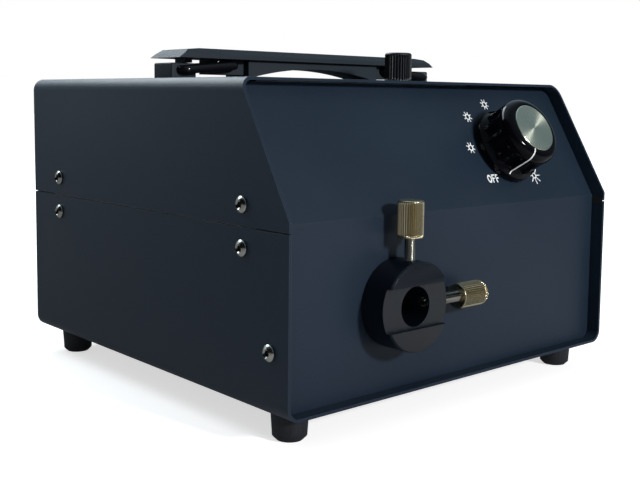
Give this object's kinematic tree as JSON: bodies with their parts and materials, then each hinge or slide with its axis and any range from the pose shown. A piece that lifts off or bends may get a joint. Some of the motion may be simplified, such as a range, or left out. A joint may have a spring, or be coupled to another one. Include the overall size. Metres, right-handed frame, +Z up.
{
  "type": "fiber optic illuminator",
  "caption": "Bench light source for fibre light guides: sloped front with a dimmer knob, clamped light port, folding top handle, lamp hatch, fan and mains inlet.",
  "frame": {"origin": "middle of the case's footprint, on the bench under the feet", "axes": "+X to the right as seen from the front, +Y to the back, +Z up; the front panel faces -Y"},
  "size_m": [0.2018, 0.2132, 0.151],
  "materials": {
    "case_paint": "satin powder coat",
    "port_black": "satin black anodised",
    "plated_screw": "bright plated",
    "knurled_screw": "nickel plated, knurled",
    "knob_black": "gloss",
    "spun_cap": "spun",
    "handle_plastic": "satin",
    "wire_black": "gloss",
    "foot_rubber": "matt",
    "zinc_steel": "zinc plated",
    "lamp_glass": "polished",
    "lamp_ceramic": "matt",
    "inner_plastic": "moulded",
    "core_iron": "varnished",
    "copper_wire": "enamelled",
    "board_resin": "satin",
    "heat_sink": "extruded"
  },
  "bodies": {
    "case": {"lower_cover": "case_paint", "upper_cover": "case_paint", "front_panel": "case_paint", "rear_panel": "case_paint", "light_port": "port_black", "cover_screws": "plated_screw", "fan_screws": "plated_screw", "inlet_screws": "plated_screw", "handle_base_left": "handle_plastic", "handle_base_right": "handle_plastic", "rubber_feet": "foot_rubber", "side_rail_left": "zinc_steel", "side_rail_right": "zinc_steel", "foot_screws": "zinc_steel", "foot_nuts": "zinc_steel", "hatch_frame": "zinc_steel", "hatch_hinge_pin": "zinc_steel", "port_ring_nut": "zinc_steel", "pot_nut": "zinc_steel", "handle_screws": "zinc_steel", "lamp_bracket": "zinc_steel", "filter_holder": "zinc_steel", "transformer_cradle": "zinc_steel", "heat_shield": "zinc_steel", "board_posts": "zinc_steel", "lamp_pins": "zinc_steel", "inlet_contacts": "zinc_steel", "fan_guard": "zinc_steel", "lamp_reflector": "lamp_glass", "lamp_capsule": "lamp_glass", "heat_filter": "lamp_glass", "lamp_base": "lamp_ceramic", "lamp_socket": "lamp_ceramic", "fan_frame": "inner_plastic", "mains_inlet": "inner_plastic", "transformer_bobbin": "inner_plastic", "dimmer_pot": "inner_plastic", "board_parts": "inner_plastic", "lamp_leads": "inner_plastic", "transformer_core": "core_iron", "transformer_winding": "copper_wire", "dimmer_board": "board_resin", "triac_heat_sink": "heat_sink"},
    "dimmer": {"dimmer_knob": "knob_black", "knob_cap": "spun_cap", "knob_set_screw": "zinc_steel", "pot_shaft": "zinc_steel"},
    "top_lock_thread": {"top_lock_stud": "plated_screw"},
    "top_lock": {"top_lock_head": "knurled_screw"},
    "side_lock_thread": {"side_lock_stud": "plated_screw"},
    "side_lock": {"side_lock_head": "knurled_screw"},
    "hatch": {"lamp_hatch": "case_paint"},
    "hatch_screw_thread": {"hatch_screw_stud": "zinc_steel"},
    "hatch_screw": {"hatch_screw_head": "knob_black"},
    "grip": {"handle_grip": "handle_plastic"},
    "left_bail": {"handle_bail_left": "wire_black"},
    "right_bail": {"handle_bail_right": "wire_black"},
    "fan": {"fan_rotor": "inner_plastic"},
    "fuse_holder": {"fuse_drawer": "inner_plastic", "fuse": "lamp_glass"}
  },
  "joints": [
    {"name": "dimmer_turn", "type": "hinge", "parent": "case", "child": "dimmer", "pos_m": [0.0438, -0.07892, 0.10695], "axis": [0, 0.8654, -0.5012], "range_deg": [0, 300]},
    {"name": "top_lock_travel", "type": "slide", "parent": "case", "child": "top_lock_thread", "axis": [0, 0, 1], "range_m": [-0.0055, 0.006]},
    {"name": "top_lock_turn", "type": "hinge", "parent": "top_lock_thread", "child": "top_lock", "pos_m": [-0.0397, -0.10075, 0.0754], "axis": [0, 0, 1], "range_deg": [-2474.55, 2699.55]},
    {"name": "side_lock_travel", "type": "slide", "parent": "case", "child": "side_lock_thread", "axis": [1, 0, 0], "range_m": [-0.0055, 0.006]},
    {"name": "side_lock_turn", "type": "hinge", "parent": "side_lock_thread", "child": "side_lock", "pos_m": [-0.0115, -0.10075, 0.0486], "axis": [1, 0, 0], "range_deg": [-2474.55, 2699.55]},
    {"name": "hatch_swing", "type": "hinge", "parent": "case", "child": "hatch", "pos_m": [-0.0758, -0.03245, 0.1348], "axis": [0, -1, 0], "range_deg": [0, 95]},
    {"name": "hatch_screw_travel", "type": "slide", "parent": "hatch", "child": "hatch_screw_thread", "axis": [0, 0, 1], "range_m": [0, 0.006]},
    {"name": "hatch_screw_turn", "type": "hinge", "parent": "hatch_screw_thread", "child": "hatch_screw", "pos_m": [0.022, -0.03245, 0.1372], "axis": [0, 0, 1], "range_deg": [0, 2699.55]},
    {"name": "grip_lift", "type": "slide", "parent": "case", "child": "grip", "axis": [0, 0, 1], "range_m": [0, 0.01405]},
    {"name": "left_bail_swing", "type": "hinge", "parent": "case", "child": "left_bail", "pos_m": [-0.0775, 0.01075, 0.1409], "axis": [0, -1, 0], "range_deg": [0, 30]},
    {"name": "right_bail_swing", "type": "hinge", "parent": "case", "child": "right_bail", "pos_m": [0.0775, 0.01075, 0.1409], "axis": [0, 1, 0], "range_deg": [0, 30]},
    {"name": "fan_spin", "type": "hinge", "parent": "case", "child": "fan", "pos_m": [-0.048, 0.088, 0.074], "axis": [0, 1, 0], "continuous": true},
    {"name": "fuse_drawer_pull", "type": "slide", "parent": "case", "child": "fuse_holder", "axis": [0, 1, 0], "range_m": [0, 0.0155]}
  ],
  "couplings": [
    {"joint": "top_lock_travel", "follows": "top_lock_turn", "m_per_rad": 0.00012732},
    {"joint": "side_lock_travel", "follows": "side_lock_turn", "m_per_rad": 0.00012732},
    {"joint": "hatch_screw_travel", "follows": "hatch_screw_turn", "m_per_rad": 0.00012732},
    {"joint": "left_bail_swing", "follows": "grip_lift", "rad_per_m": 37.26},
    {"joint": "right_bail_swing", "follows": "grip_lift", "rad_per_m": 37.26}
  ]
}
